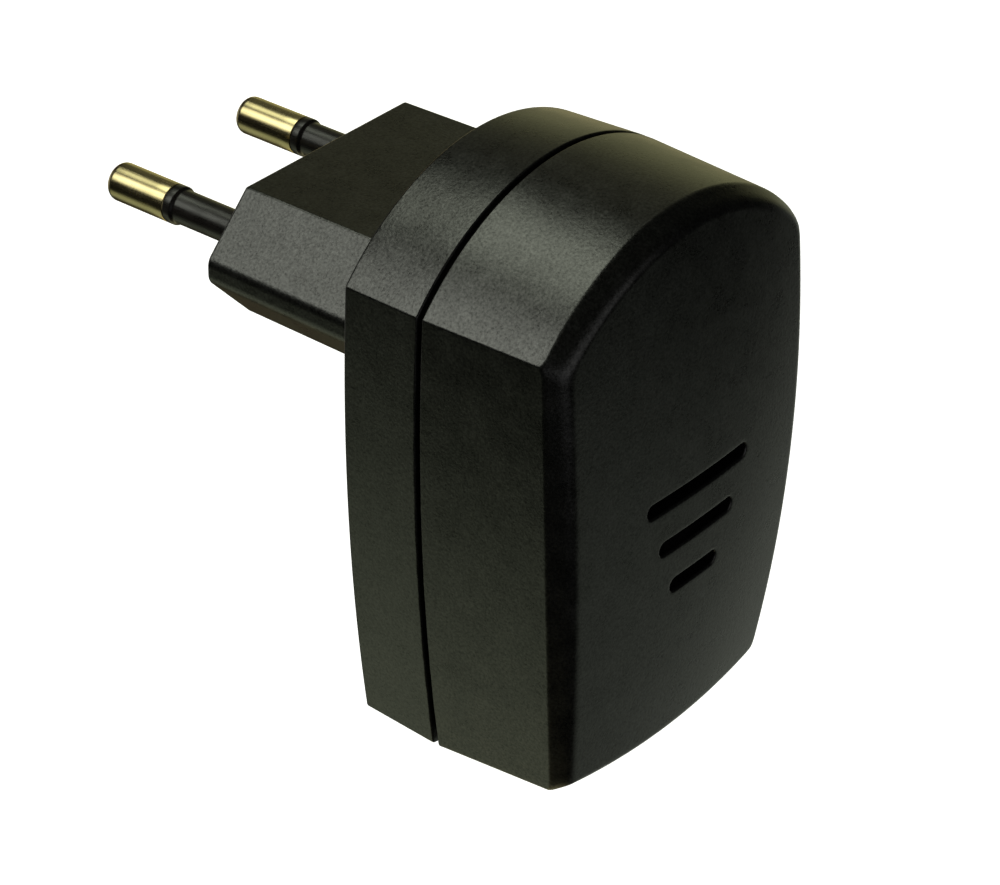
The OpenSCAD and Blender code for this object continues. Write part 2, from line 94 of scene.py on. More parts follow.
def meeting(c1, r1, c2, r2, near):
    """The crossing of two circles that lies nearer to a point."""
    d = c2 - c1
    gap = np.linalg.norm(d)
    along = (gap**2 + r1**2 - r2**2) / (2 * gap)
    across = math.sqrt(max(r1**2 - along**2, 0))
    foot = c1 + d / gap * along
    side = np.array([-d[1], d[0]]) / gap * across
    return min((foot + side, foot - side), key=lambda p: np.linalg.norm(p - near))


def sweep(centre, radius, start, end, steps):
    """Points on a circle from one direction to another, the short way round."""
    a = math.atan2(start[1], start[0])
    turn = (math.atan2(end[1], end[0]) - a + math.pi) % (2 * math.pi) - math.pi
    t = a + turn * np.linspace(0, 1, steps)
    return centre + radius * np.stack([np.cos(t), np.sin(t)], 1)


def outline(inset, corner=0.4):
    """The case's outline as (x, z) points, inset, with rounded corners."""
    hubs = []
    for i in range(4):
        (c1, r1, _, _), (c2, r2, _, _) = ARCS[i - 1], ARCS[i]
        hubs.append(meeting(c1, r1 - inset - corner, c2, r2 - inset - corner, CORNERS[i]))
    points = []
    for i in range(4):
        centre, radius = ARCS[i][0], ARCS[i][1] - inset
        after = hubs[(i + 1) % 4]
        points.append(sweep(centre, radius, hubs[i] - centre, after - centre, EDGE_STEPS))
        turn = sweep(after, corner, after - centre, after - ARCS[(i + 1) % 4][0], CORNER_STEPS)
        points.append(turn[1:-1])
    return np.concatenate(points)


def soft_max(a, b, k):
    """The larger of two heights, rounded where they cross."""
    h = np.maximum(k - np.abs(a - b), 0) / k
    return np.maximum(a, b) + h * h * k / 4


def face_height(x, z, skin=0.0):
    """Y of the crowned face, set back by skin."""
    across = CROWN_TALL - CROWN_WIDE + np.sqrt((CROWN_WIDE - skin) ** 2 - x**2)
    return FACE_Y + CROWN_TALL - np.sqrt(across**2 - (z - CROWN_Z) ** 2)


def inner_height(x, z):
    """Y of the front shell's inner face at one place."""
    return float(face_height(x, z, WALL))


def front_height(x, z):
    """Y of the front shell's outside: its crowned face and the bevels round it."""
    heights = []
    for i, steep in ((0, ARCH_SLOPE), (2, BEVEL_SLOPE)):
        centre, radius = ARCS[i][0], ARCS[i][1]
        reach = z - centre[1] if i else np.maximum(z - centre[1], 0)  # the arch ends at its centre's height
        inset = radius - np.hypot(x - centre[0], reach)
        heights.append(EDGE_Y - (inset - FRONT_DRAFT) * math.tan(steep))
    for i in (1, 3):
        _, _, half, inward = ARCS[i]
        rise = RISES[i]
        reach = rise * math.sin(BEVEL_SLOPE) + SIDE_BOW * math.cos(BEVEL_SLOPE)
        ball = (half**2 + rise**2 + SIDE_BOW**2) / (2 * reach)
        middle = (CORNERS[i] + CORNERS[(i + 1) % 4]) / 2
        hub = middle - inward * (rise - FRONT_DRAFT) + inward * ball * math.sin(BEVEL_SLOPE)
        depth = EDGE_Y - SIDE_BOW + ball * math.cos(BEVEL_SLOPE)
        heights.append(depth - np.sqrt(np.maximum(ball**2 - (x - hub[0]) ** 2 - (z - hub[1]) ** 2, 0)))
    bevel = heights[0]
    for h in heights[1:]:
        bevel = soft_max(bevel, h, BEVEL_BLEND)
    return soft_max(face_height(x, z), bevel, FACE_BLEND)


# ---------------------------------------------------------------- mesh building
class Surface:
    """A mesh made of rings of points, bridged one to the next and filled in."""

    def __init__(self):
        self.points = []
        self.faces = []

    def ring(self, points):
        first = len(self.points)
        self.points.extend(map(tuple, points))
        return list(range(first, len(self.points)))

    def bridge(self, a, b):
        for i in range(len(a)):
            j = (i + 1) % len(a)
            self.faces.append((a[i], a[j], b[j], b[i]))

    def loft(self, rings):
        """Bridges rings of points in turn, and returns the first and last as index lists."""
        made = [self.ring(r) for r in rings]
        for a, b in zip(made, made[1:]):
            self.bridge(a, b)
        return made[0], made[-1]

    def fill(self, outer, holes=(), extra=(), height=None):
        """Triangles between an outer ring and its holes, seen along Y, with extra (x, z) points inside."""
        loops = [outer, *holes]
        known = [i for loop in loops for i in loop]
        flat = [(self.points[i][0], self.points[i][2]) for i in known]
        edges, first = [], 0
        for loop in loops:
            n = len(loop)
            edges += [(first + k, first + (k + 1) % n) for k in range(n)]
            first += n
        if len(extra):
            known += self.ring([(x, height(x, z), z) for x, z in extra])
            flat += [tuple(p) for p in extra]
        frame_first, far = len(flat), 99
        flat += [(-far, -far), (far, -far), (far, far), (-far, far)]
        found = delaunay_2d_cdt([Vector(p) for p in flat], edges, [], 0, 1e-6)
        triangles, origin = found[2], [o[0] for o in found[3]]
        triangles = [tuple(origin[v] for v in t) for t in triangles]
        walls = {frozenset(e) for e in edges}
        sharing = {}
        for t, corners in enumerate(triangles):
            for k in range(3):
                sharing.setdefault(frozenset((corners[k], corners[k - 1])), []).append(t)
        # Walk in from the frame's corner, changing between outside and inside at each loop
        start = next(t for t, corners in enumerate(triangles) if max(corners) >= frame_first)
        within, todo = {start: False}, [start]
        while todo:
            t = todo.pop()
            for k in range(3):
                edge = frozenset((triangles[t][k], triangles[t][k - 1]))
                for other in sharing[edge]:
                    if other not in within:
                        within[other] = within[t] != (edge in walls)
                        todo.append(other)
        self.faces += [tuple(known[v] for v in triangles[t]) for t in within if within[t]]

    def build(self, name):
        """A new object from the rings, in metres, with its normals facing out."""
        mesh = bpy.data.meshes.new(name)
        mesh.from_pydata([tuple(c * MM for c in p) for p in self.points], [], self.faces)
        bm = bmesh.new()
        bm.from_mesh(mesh)
        bmesh.ops.recalc_face_normals(bm, faces=bm.faces)
        if bm.calc_volume(signed=True) < 0:
            bmesh.ops.reverse_faces(bm, faces=bm.faces)
        bm.to_mesh(mesh)
        bm.free()
        made = bpy.data.objects.new(name, mesh)
        bpy.context.scene.collection.objects.link(made)
        return made


def inside(shape, points):
    """Which points lie in a closed polygon."""
    x, z = points[:, 0], points[:, 1]
    found = np.zeros(len(points), bool)
    for (x1, z1), (x2, z2) in zip(shape, np.roll(shape, -1, 0)):
        crosses = (z1 > z) != (z2 > z)
        with np.errstate(divide="ignore", invalid="ignore"):
            found ^= crosses & (x < (x2 - x1) * (z - z1) / (z2 - z1) + x1)
    return found


def at(flat, y):
    """(x, z) points as 3-D points at depth y, which may differ from point to point."""
    return np.stack([flat[:, 0], np.broadcast_to(y, len(flat)), flat[:, 1]], 1)


def circle(x, z, r, count=48):
    t = np.linspace(0, 2 * math.pi, count, endpoint=False)
    return np.stack([x + r * np.cos(t), z + r * np.sin(t)], 1)


def rounding(y, inset, dy, dinset, steps=4):
    """(y, inset) stations round a quarter turn, from (y, inset + dinset) to (y + dy, inset)."""
    a = np.linspace(0, math.pi / 2, steps)
    return [(y + dy * (1 - math.cos(t)), inset + dinset * (1 - math.sin(t))) for t in a]


def stadium(half, z, r, turn_steps=14, straight=10):
    """A slot's outline: two half circles and the straight sides between them."""
    t = np.linspace(-math.pi / 2, math.pi / 2, turn_steps)
    right = np.stack([half + r * np.cos(t), z + r * np.sin(t)], 1)
    left = np.stack([-half - r * np.cos(t), z - r * np.sin(t)], 1)
    u = np.linspace(1, -1, straight)[1:-1] * half
    top = np.stack([u, np.full(len(u), z + r)], 1)
    bottom = np.stack([-u, np.full(len(u), z - r)], 1)
    return np.concatenate([right, top, left, bottom])


def lathe(profile, x, z, count):
    """A turned skin on an axis along Y, with its first and last rings. Profile points are (radius, y)."""
    body = Surface()
    first, last = body.loft([at(circle(x, z, r, count), y) for r, y in profile])
    return body, first, last


def solid_lathe(name, profile, x, z, count=64):
    """A turned solid whose ends are closed by flat discs."""
    body, first, last = lathe(profile, x, z, count)
    body.faces += [tuple(first), tuple(last)]
    return body.build(name)


def tube_lathe(name, profile, x, z, count=64):
    """A turned solid with a hole through it: its profile closes on itself."""
    body, first, last = lathe(profile, x, z, count)
    body.bridge(last, first)
    return body.build(name)


def cut(target, tools, operation):
    """Applies exact booleans to target and removes the tools."""
    for tool in tools:
        m = target.modifiers.new("boolean", "BOOLEAN")
        m.operation, m.solver, m.object = operation, "EXACT", tool
    bpy.context.view_layer.update()
    result = bpy.data.meshes.new_from_object(target.evaluated_get(bpy.context.evaluated_depsgraph_get()))
    target.modifiers.clear()
    target.data = result
    for tool in tools:
        bpy.data.objects.remove(tool)


def smooth(obj, angle=30):
    """Smooth shading, sharp where faces meet at more than an angle, led by the larger faces."""
    mesh = obj.data
    mesh.polygons.foreach_set("use_smooth", [True] * len(mesh.polygons))
    mesh.set_sharp_from_angle(angle=math.radians(angle))
    weighted = obj.modifiers.new("normals", "WEIGHTED_NORMAL")
    weighted.keep_sharp = True
    weighted.weight = 80


# ---------------------------------------------------------------- front shell
def front_shell():
    """The front half of the case: its crowned face with three slots, and what is moulded inside it."""
    body = Surface()
    rim, edge = 0.22, 0.2
    base, lip_y = outline(FRONT_DRAFT), REAR_RIM_Y + 2
    crest = front_height(base[:, 0], base[:, 1])
    rings = [at(outline(i), y) for y, i in rounding(FRONT_RIM_Y, 0, -rim, rim)]
    start, wall_top = outline(0), FRONT_RIM_Y - rim
    foot = at(base, crest + edge)
    for t in np.linspace(0, 1, 8)[1:]:
        rings.append(at(start, wall_top) * (1 - t) + foot * t)
    crown_start = outline(FRONT_DRAFT + edge)
    ledge = at(crown_start, front_height(crown_start[:, 0], crown_start[:, 1]))
    peak = at(base, crest)
    for t in (0.25, 0.5, 0.75):
        rings.append(foot * (1 - t) ** 2 + peak * 2 * t * (1 - t) + ledge * t * t)
    rings.append(ledge)
    # Closer rings where the bevel turns into the face
    for inset in (0.4, 0.6, 0.8, 1.0, 1.2, 1.4, 1.6, 1.8, 2.0, 2.25, 2.5, 2.8, 3.2, 3.7, 4.5, 5.4):
        ring = outline(FRONT_DRAFT + inset)
        rings.append(at(ring, front_height(ring[:, 0], ring[:, 1])))
    rim_ring, face_ring = body.loft(rings)

    # Slots: a rounded mouth, straight walls and an opening in the inner face
    mouths, exits, graded, fillet = [], [], [], 0.28
    for i, half in enumerate(SLOT_HALVES):
        z = SLOT_TOP_Z - i * SLOT_PITCH
        rings = []
        for depth, grow in rounding(0, 0, fillet, fillet, 6):
            loop = stadium(half, z, SLOT_RADIUS + grow)
            rings.append(at(loop, front_height(loop[:, 0], loop[:, 1]) + depth))
        loop = stadium(half, z, SLOT_RADIUS)
        rings.append(at(loop, face_height(loop[:, 0], loop[:, 1], WALL)))
        mouth, opening = body.loft(rings)
        mouths.append(mouth)
        exits.append(opening)
        for grow in (0.3, 0.75):
            graded.append(stadium(half, z, SLOT_RADIUS + fillet + grow))
    step = 0.9
    xs, zs = np.meshgrid(np.arange(-20, 20, step), np.arange(-45, 16, step))
    xs = xs + (np.arange(len(zs))[:, None] % 2) * step / 2
    grid = np.stack([xs.ravel(), zs.ravel()], 1)
    keep = inside(outline(FRONT_DRAFT + 5.9), grid)
    for i, half in enumerate(SLOT_HALVES):
        keep &= ~inside(stadium(half, SLOT_TOP_Z - i * SLOT_PITCH, SLOT_RADIUS + fillet + 1.2), grid)
    extra = np.concatenate([grid[keep], *graded])
    body.fill(face_ring, mouths, extra, lambda x, z: float(front_height(x, z)))

    # Rim, the tongue that slides into the rear shell, and the inside
    tongue, tip = WALL / 2, 0.2
    rings = [at(outline(tongue), FRONT_RIM_Y)]
    rings += [at(outline(i), y) for y, i in rounding(lip_y, tongue, -tip, tip, 3)[::-1]]
    rings += [at(outline(WALL), lip_y), at(outline(WALL), FRONT_RIM_Y)]
    inner = outline(WALL + FRONT_DRAFT)
    rings.append(at(inner, face_height(inner[:, 0], inner[:, 1], WALL)))
    outer, inner_ring = body.loft(rings)
    body.bridge(rim_ring, outer)
    keep = inside(outline(WALL + FRONT_DRAFT + 0.8), grid)
    for i, half in enumerate(SLOT_HALVES):
        keep &= ~inside(stadium(half, SLOT_TOP_Z - i * SLOT_PITCH, SLOT_RADIUS + 0.5), grid)
    body.fill(inner_ring, exits, grid[keep][::2], inner_height)
    shell = body.build("case_front")

    # Notches that clear the rear shell's screw bosses
    notch = [(NOTCH_RADIUS, lip_y + 1), (NOTCH_RADIUS, PILLAR_Y)]
    cut(shell, [solid_lathe("notch", notch, x, z) for x, z in SCREWS], "DIFFERENCE")

    # Screw pillars and the transducer's seat, both sunk a little way into the wall
    posts = []
    for x, z in SCREWS:
        pillar = [(PILLAR_RADIUS - 0.2, PILLAR_Y), (PILLAR_RADIUS, PILLAR_Y - 0.2),
                  (PILLAR_RADIUS, inner_height(x, z) - 0.8)]
        posts.append(solid_lathe("pillar", pillar, x, z))
    inner_r, outer_r = TRANSDUCER_RADIUS + 0.1, TRANSDUCER_RADIUS + 1.4
    seat_rear, seat_front = CUP_FRONT_Y + 4, inner_height(outer_r, TRANSDUCER_Z) - 0.7
    seat = [(inner_r, seat_rear), (outer_r, seat_rear), (outer_r, seat_front), (inner_r, seat_front)]
    posts.append(tube_lathe("seat", seat, 0, TRANSDUCER_Z, 96))
    cut(shell, posts, "UNION")
    pilot = [(PILOT_RADIUS, PILLAR_Y + 1), (PILOT_RADIUS, PILLAR_Y - PILOT_DEPTH)]
    cut(shell, [solid_lathe("pilot", pilot, x, z, 32) for x, z in SCREWS], "DIFFERENCE")
    return shell


# ---------------------------------------------------------------- rear shell
def nose_outline(inset, scale, side_round, edge_round):
    """The plug nose's eight-sided outline as (x, z) points with rounded corners."""
    lean = math.atan((NOSE_HALF - NOSE_FLAT) / (NOSE_HEIGHT - NOSE_SIDE))
    w, h = (NOSE_HALF - inset) * scale, (NOSE_HEIGHT - inset) * scale
    s = (NOSE_SIDE - inset * math.tan(lean / 2)) * scale
    f = (NOSE_FLAT - inset * math.tan((math.pi / 2 - lean) / 2)) * scale
    shape = np.array([(-w, s), (-f, h), (f, h), (w, s), (w, -s), (f, -h), (-f, -h), (-w, -s)])
    sizes = [side_round, edge_round, edge_round, side_round] * 2
    turns = []
    for i, r in enumerate(sizes):
        p, a, b = shape[i], shape[i - 1], shape[(i + 1) % 8]
        u, v = (a - p) / np.linalg.norm(a - p), (b - p) / np.linalg.norm(b - p)
        half = math.acos(np.clip(u @ v, -1, 1)) / 2
        hub = p + (u + v) / np.linalg.norm(u + v) * r / math.sin(half)
        tangent = r / math.tan(half)
        turns.append(sweep(hub, r, p + u * tangent - hub, p + v * tangent - hub, 7))
    run = np.linspace(0, 1, 10)[1:-1, None]
    points = []
    for turn, following in zip(turns, turns[1:] + turns[:1]):
        points += [turn, turn[-1] * (1 - run) + following[0] * run]
    return np.concatenate(points)


def nose_ring(y, inset=0.0, side_round=1.5, edge_round=0.4):
    """The nose's outline at depth y. It tapers from full size at its root to its end face at y = 0."""
    scale = 1 + (NOSE_TAPER - 1) * (1 + y / NOSE_LENGTH)
    return at(nose_outline(inset, scale, side_round, edge_round), y)


def rear_shell():
    """The rear half of the case with the plug nose, its pin holes, the screw bosses and the board's posts."""
    body = Surface()
    back, rim = 0.35, 0.22
    rings = [at(outline(i), y) for y, i in rounding(REAR_Y, REAR_DRAFT, -back, back, 6)]
    for t in np.linspace(0, 1, 6)[1:]:
        y = (REAR_Y - back) * (1 - t) + (REAR_RIM_Y + rim) * t
        rings.append(at(outline(REAR_DRAFT * (1 - t)), y))
    rings += [at(outline(i), y) for y, i in rounding(REAR_RIM_Y, 0, rim, rim)[::-1][1:]]
    rebate = WALL / 2 - 0.1
    rebate_y = REAR_RIM_Y + 2.2
    rings += [at(outline(rebate), REAR_RIM_Y), at(outline(rebate), rebate_y)]
    rings += [at(outline(WALL), rebate_y), at(outline(WALL), REAR_Y - WALL)]
    back_ring, floor_ring = body.loft(rings)

    # Plug nose: its outside, end face, pin holes, bosses and hollow
    end = 0.35
    rings = [nose_ring(y) for y in np.linspace(REAR_Y, -end, 6)]
    rings += [nose_ring(y, i) for y, i in rounding(0, 0, -end, end, 6)[::-1][1:]]
    root, tip = body.loft(rings)
    holes, bosses, hollow_y = [], [], -3
    mouth_r, shank_r, boss_r = SLEEVE_RADIUS + 0.03, SHANK_RADIUS + 0.02, 3.6
    steps = [(mouth_r, 0), (mouth_r, SLEEVE_ROOT_Y), (shank_r, SLEEVE_ROOT_Y),
             (shank_r, SHANK_ROOT_Y), (boss_r, SHANK_ROOT_Y), (boss_r, hollow_y)]
    for x in (-PIN_X, PIN_X):
        hole, boss = body.loft([at(circle(x, 0, r), y) for r, y in steps])
        holes.append(hole)
        bosses.append(boss)
    body.fill(tip, holes)
    hollow = [nose_ring(y, 2.4, 0.2, 0.3) for y in (hollow_y, REAR_Y - WALL)]
    inner_tip, inner_root = body.loft(hollow)
    body.fill(inner_tip, bosses)
    body.fill(back_ring, [root])
    body.fill(floor_ring, [inner_root])
    shell = body.build("case_rear")

    # Screw bosses, and the board's posts and pegs
    foot_y, peg_r, recess_r, post_pilot_r = REAR_Y - 1, 0.9, 2.8, 0.8
    boss = [(BOSS_RADIUS, foot_y), (BOSS_RADIUS, PILLAR_Y)]
    post = [(POST_RADIUS, foot_y), (POST_RADIUS, BOARD_REAR_Y)]
    peg = post + [(peg_r, BOARD_REAR_Y), (peg_r, BOARD_FRONT_Y - 0.35), (0.65, BOARD_FRONT_Y - 0.6)]
    posts = [solid_lathe("boss", boss, x, z) for x, z in SCREWS]
    posts += [solid_lathe("post", post, x, z) for x, z in BOARD_POSTS]
    posts += [solid_lathe("peg", peg, x, z) for x, z in BOARD_PEGS]
    cut(shell, posts, "UNION")
    recess = [(3.15, REAR_Y + 0.2), (recess_r, REAR_Y - 0.15), (recess_r, SCREW_HEAD_Y),
              (SCREW_HOLE_RADIUS, SCREW_HEAD_Y), (SCREW_HOLE_RADIUS, PILLAR_Y - 1)]
    pilot = [(post_pilot_r, REAR_Y - 1.4), (post_pilot_r, BOARD_REAR_Y - 1)]
    drills = [solid_lathe("recess", recess, x, z) for x, z in SCREWS]
    drills += [solid_lathe("pilot", pilot, x, z, 24) for x, z in BOARD_POSTS]
    cut(shell, drills, "DIFFERENCE")
    return shell


# ---------------------------------------------------------------- plug pins
def arc_profile(r, y, radius, start, end, steps=7):
    """(radius, y) points round a small circle centred at (r, y), angles in degrees from the radius axis."""
    t = np.radians(np.linspace(start, end, steps))
    return [(r + radius * math.cos(a), y + radius * math.sin(a)) for a in t]


def plug_pin(side):
    """A pin from its solder tail to its rounded tip, waisted where the sleeve goes."""
    tip, tail, tail_y = 0.9, 1.0, -13.0
    profile = [(0.55, tail_y), (tail, tail_y + 0.45), (tail, SHANK_ROOT_Y),
               (SHANK_RADIUS - 0.15, SHANK_ROOT_Y), (SHANK_RADIUS, SHANK_ROOT_Y + 0.15),
               (SHANK_RADIUS, SLEEVE_ROOT_Y), (WAIST, SLEEVE_ROOT_Y), (WAIST, SLEEVE_LENGTH),
               (1.86, SLEEVE_LENGTH)]
    profile += arc_profile(PIN_RADIUS - 0.12, SLEEVE_LENGTH + 0.12, 0.12, -90, 0, 5)[1:]
    profile += [(PIN_RADIUS, y) for y in (13.0, 15.0, 17.0)]
    profile += arc_profile(PIN_RADIUS - tip, PIN_LENGTH - tip, tip, 0, 90, 14)
    profile += [(0.5, PIN_LENGTH), (0.02, PIN_LENGTH)]
    return solid_lathe("pin_left" if side < 0 else "pin_right", profile, side * PIN_X, 0, 96)


def pin_sleeve(side):
    """The insulation round a pin, with a collar as wide as the pin at its outer end."""
    collar_y = SLEEVE_LENGTH - COLLAR
    profile = [(WAIST, SLEEVE_ROOT_Y)]
    profile += [(SLEEVE_RADIUS, y) for y in (SLEEVE_ROOT_Y, 2.0, 6.0, collar_y - 0.35)]
    profile += arc_profile(SLEEVE_RADIUS + 0.3, collar_y - 0.3, 0.3, 180, 135, 4)[1:]
    profile += arc_profile(PIN_RADIUS - 0.3, collar_y + 0.22, 0.3, -45, 0, 4)
    profile += arc_profile(PIN_RADIUS - 0.12, SLEEVE_LENGTH - 0.14, 0.12, 0, 90, 5)
    profile += [(1.7, SLEEVE_LENGTH - 0.02), (WAIST, SLEEVE_LENGTH - 0.02)]
    return tube_lathe("sleeve_left" if side < 0 else "sleeve_right", profile, side * PIN_X, 0, 96)


# ---------------------------------------------------------------- case screws
def case_screw(x, z, turn):
    """A pan-head self-tapping screw with a cross recess and a thread, its head toward +Y."""
    top = SCREW_HEAD_Y + 1.8
    profile = [(0.02, top), (0.9, top - 0.05), (1.6, top - 0.22), (2.2, top - 0.6), (2.5, top - 1.1),
               (2.6, top - 1.45), (2.6, SCREW_HEAD_Y + 0.12), (2.5, SCREW_HEAD_Y), (1.1, SCREW_HEAD_Y)]
    length, pitch = 13.0, 1.05
    for y in np.linspace(0.3, length - 2.6, 6):
        profile.append((1.0, SCREW_HEAD_Y - y))
    profile += [(0.55, SCREW_HEAD_Y - length + 1.2), (0.02, SCREW_HEAD_Y - length)]
    screw = solid_lathe("case_screw", profile, x, z, 48)
    arms = []
    for k in (0, 1):
        arm = Surface()
        a = turn + k * math.pi / 2
        along, across = np.array([math.cos(a), math.sin(a)]), np.array([-math.sin(a), math.cos(a)])
        rings = []
        for y, reach, width in ((top + 0.3, 1.75, 0.36), (top - 0.3, 1.45, 0.31), (top - 1.25, 0.5, 0.2)):
            shape = [along * s * reach + across * t * width for s, t in ((-1, -1), (1, -1), (1, 1), (-1, 1))]
            rings.append(at(np.array(shape) + np.array([x, z]), y))
        first, last = arm.loft(rings)
        arm.faces += [tuple(first), tuple(last)]
        arms.append(arm.build("arm"))
    cut(screw, arms, "DIFFERENCE")

    # The thread: a three-sided ridge wound round the shank
    ridge = Surface()
    turns, per_turn, rings = (length - 3.2) / pitch, 24, []
    count = int(turns * per_turn)
    for k in range(count + 1):
        a = 2 * math.pi * k / per_turn
        y = SCREW_HEAD_Y - 0.7 - pitch * k / per_turn
        grow = min(1.0, k / per_turn, (count - k) / per_turn)
        out = 0.92 + 0.36 * grow
        d = np.array([math.cos(a), 0, math.sin(a)])
        centre = np.array([x, y, z])
        rings.append([centre + d * 0.9 + (0, 0.24, 0), centre + d * out + (0, 0.03, 0),
                      centre + d * out - (0, 0.03, 0), centre + d * 0.9 - (0, 0.24, 0)])
    first, last = ridge.loft(rings)
    ridge.faces += [tuple(first), tuple(last)]
    return screw, ridge.build("thread")


def joined(name, parts):
    """Joins meshes into one object."""
    bm = bmesh.new()
    for part in parts:
        bm.from_mesh(part.data)
    mesh = bpy.data.meshes.new(name)
    bm.to_mesh(mesh)
    bm.free()
    for part in parts:
        bpy.data.objects.remove(part)
    made = bpy.data.objects.new(name, mesh)
    bpy.context.scene.collection.objects.link(made)
    return made


# ---------------------------------------------------------------- materials
class Graph:
    """Short calls for building a node material. Coordinates are in millimetres."""

    def __init__(self, name):
        self.material = bpy.data.materials.new(name)
        self.material.use_nodes = True
        self.tree = self.material.node_tree
        self.shader = self.tree.nodes["Principled BSDF"]
        where = self.node("ShaderNodeTexCoord")
        scale = self.node("ShaderNodeVectorMath", operation="SCALE")
        self.link(where.outputs["Object"], scale.inputs[0])
        scale.inputs["Scale"].default_value = 1 / MM
        self.mm = scale.outputs[0]

    def node(self, kind, **settings):
        made = self.tree.nodes.new(kind)
        for key, value in settings.items():
            setattr(made, key, value)
        return made

    def link(self, a, b):
        self.tree.links.new(a, b)

    def put(self, socket, value):
        if isinstance(value, bpy.types.NodeSocket):
            self.link(value, socket)
        else:
            socket.default_value = value

    def noise(self, scale, detail, roughness=0.5, at=None):
        n = self.node("ShaderNodeTexNoise")
        self.link(at or self.mm, n.inputs["Vector"])
        n.inputs["Scale"].default_value = scale
        n.inputs["Detail"].default_value = detail
        n.inputs["Roughness"].default_value = roughness
        return n.outputs["Fac"]

    def cell_edges(self, scale):
        """How far each place is from the border of its cell."""
        n = self.node("ShaderNodeTexVoronoi", feature="DISTANCE_TO_EDGE")
        self.link(self.mm, n.inputs["Vector"])
        n.inputs["Scale"].default_value = scale
        return n.outputs["Distance"]

    def stretch(self, x, y, z):
        m = self.node("ShaderNodeMapping")
        self.link(self.mm, m.inputs["Vector"])
        m.inputs["Scale"].default_value = (x, y, z)
        return m.outputs["Vector"]

    def math(self, operation, a, b=0.0):
        m = self.node("ShaderNodeMath", operation=operation)
        for socket, value in zip(m.inputs, (a, b)):
            self.put(socket, value)
        return m.outputs[0]

    def remap(self, value, low, high, to_low, to_high):
        m = self.node("ShaderNodeMapRange")
        names = ("Value", "From Min", "From Max", "To Min", "To Max")
        for key, v in zip(names, (value, low, high, to_low, to_high)):
            self.put(m.inputs[key], v)
        return m.outputs["Result"]

    def mix(self, factor, a, b):
        m = self.node("ShaderNodeMix", data_type="RGBA")
        self.put(m.inputs["Factor"], factor)
        for socket, value in zip((m.inputs["A"], m.inputs["B"]), (a, b)):
            self.put(socket, value if isinstance(value, bpy.types.NodeSocket) else (*value, 1))
        return m.outputs["Result"]

    def bands(self, factor, stops):
        """Flat bands of colour. Stops are (place, colour)."""
        r = self.node("ShaderNodeValToRGB")
        self.link(factor, r.inputs[0])
        r.color_ramp.interpolation = "CONSTANT"
        while len(r.color_ramp.elements) < len(stops):
            r.color_ramp.elements.new(1.0)
        for element, (position, colour) in zip(r.color_ramp.elements, stops):
            element.position = position
            element.color = (*colour, 1)
        return r.outputs[0]

    def axis(self, which):
        s = self.node("ShaderNodeSeparateXYZ")
        self.link(self.mm, s.inputs[0])
        return s.outputs[which]

    def bump(self, height, depth):
        """Depth is in millimetres."""
        b = self.node("ShaderNodeBump")
        b.inputs["Distance"].default_value = depth * MM
        b.inputs["Strength"].default_value = 1.0
        self.link(height, b.inputs["Height"])
        return b.outputs[0]

    def edges(self):
        """1 along outer edges, from the mesh's own curvature."""
        g = self.node("ShaderNodeNewGeometry")
        return self.remap(g.outputs["Pointiness"], 0.52, 0.6, 0, 1)

    def set(self, **values):
        """Sets the shader's own sockets and returns the finished material."""
        for key, value in values.items():
            socket = self.shader.inputs[key.replace("_", " ")]
            if key == "Base_Color" and not isinstance(value, bpy.types.NodeSocket):
                value = (*value, 1)
            self.put(socket, value)
        return self.material


def plain_finish(name, dark, light, rough, metal, patch, grain, depth, coat, worn):
    """Two shades in soft patches, a fine grain in relief and gloss, and paler worn edges."""
    g = Graph(name)
    shade = g.mix(g.remap(g.noise(patch, 3), 0.3, 0.7, 0, 1), dark, light)
    if worn:
        shade = g.mix(g.math("MULTIPLY", g.edges(), g.remap(g.noise(1.2, 4), 0.4, 0.7, 0, 0.8)), shade, worn)
    fine = g.noise(grain, 4, 0.6)
    return g.set(Base_Color=shade, Metallic=metal, Coat_Weight=coat, Coat_Roughness=0.12,
                 Roughness=g.remap(fine, 0.25, 0.75, rough * 0.75, min(rough * 1.3, 1)),
                 Normal=g.bump(fine, depth))


def case_plastic():
    """Black ABS with a spark-eroded texture: a sandy grain under a satin sheen, and faint handling marks."""
    g = Graph("case_plastic")
    patches = g.remap(g.noise(0.12, 4), 0.3, 0.7, 0, 1)
    clouds = g.noise(0.33, 4, 0.6)
    sand = g.noise(3.6, 3, 0.7)
    dimples = g.noise(1.9, 3, 0.6)
    shade = g.mix(patches, (0.0030, 0.0033, 0.0028), (0.0048, 0.0051, 0.0043))
    shade = g.mix(g.remap(sand, 0.35, 0.7, 0, 0.5), shade, (0.008, 0.008, 0.007))
    rub = g.math("MULTIPLY", g.edges(), g.remap(g.noise(0.5, 4), 0.42, 0.68, 0, 0.5))
    shade = g.mix(rub, shade, (0.02, 0.02, 0.018))
    rough = g.math("ADD", g.remap(clouds, 0.3, 0.7, 0.26, 0.34), g.remap(sand, 0.3, 0.7, -0.02, 0.04))
    sheen = g.math("MULTIPLY", g.remap(sand, 0.3, 0.7, 0.24, 0.76), g.remap(clouds, 0.3, 0.7, 0.78, 1.22))
    relief = g.math("ADD", g.math("MULTIPLY", sand, 0.6), g.math("MULTIPLY", dimples, 0.45))
    return g.set(Base_Color=shade, Roughness=rough, IOR=1.65, Specular_IOR_Level=sheen,
                 Normal=g.bump(relief, 0.03))


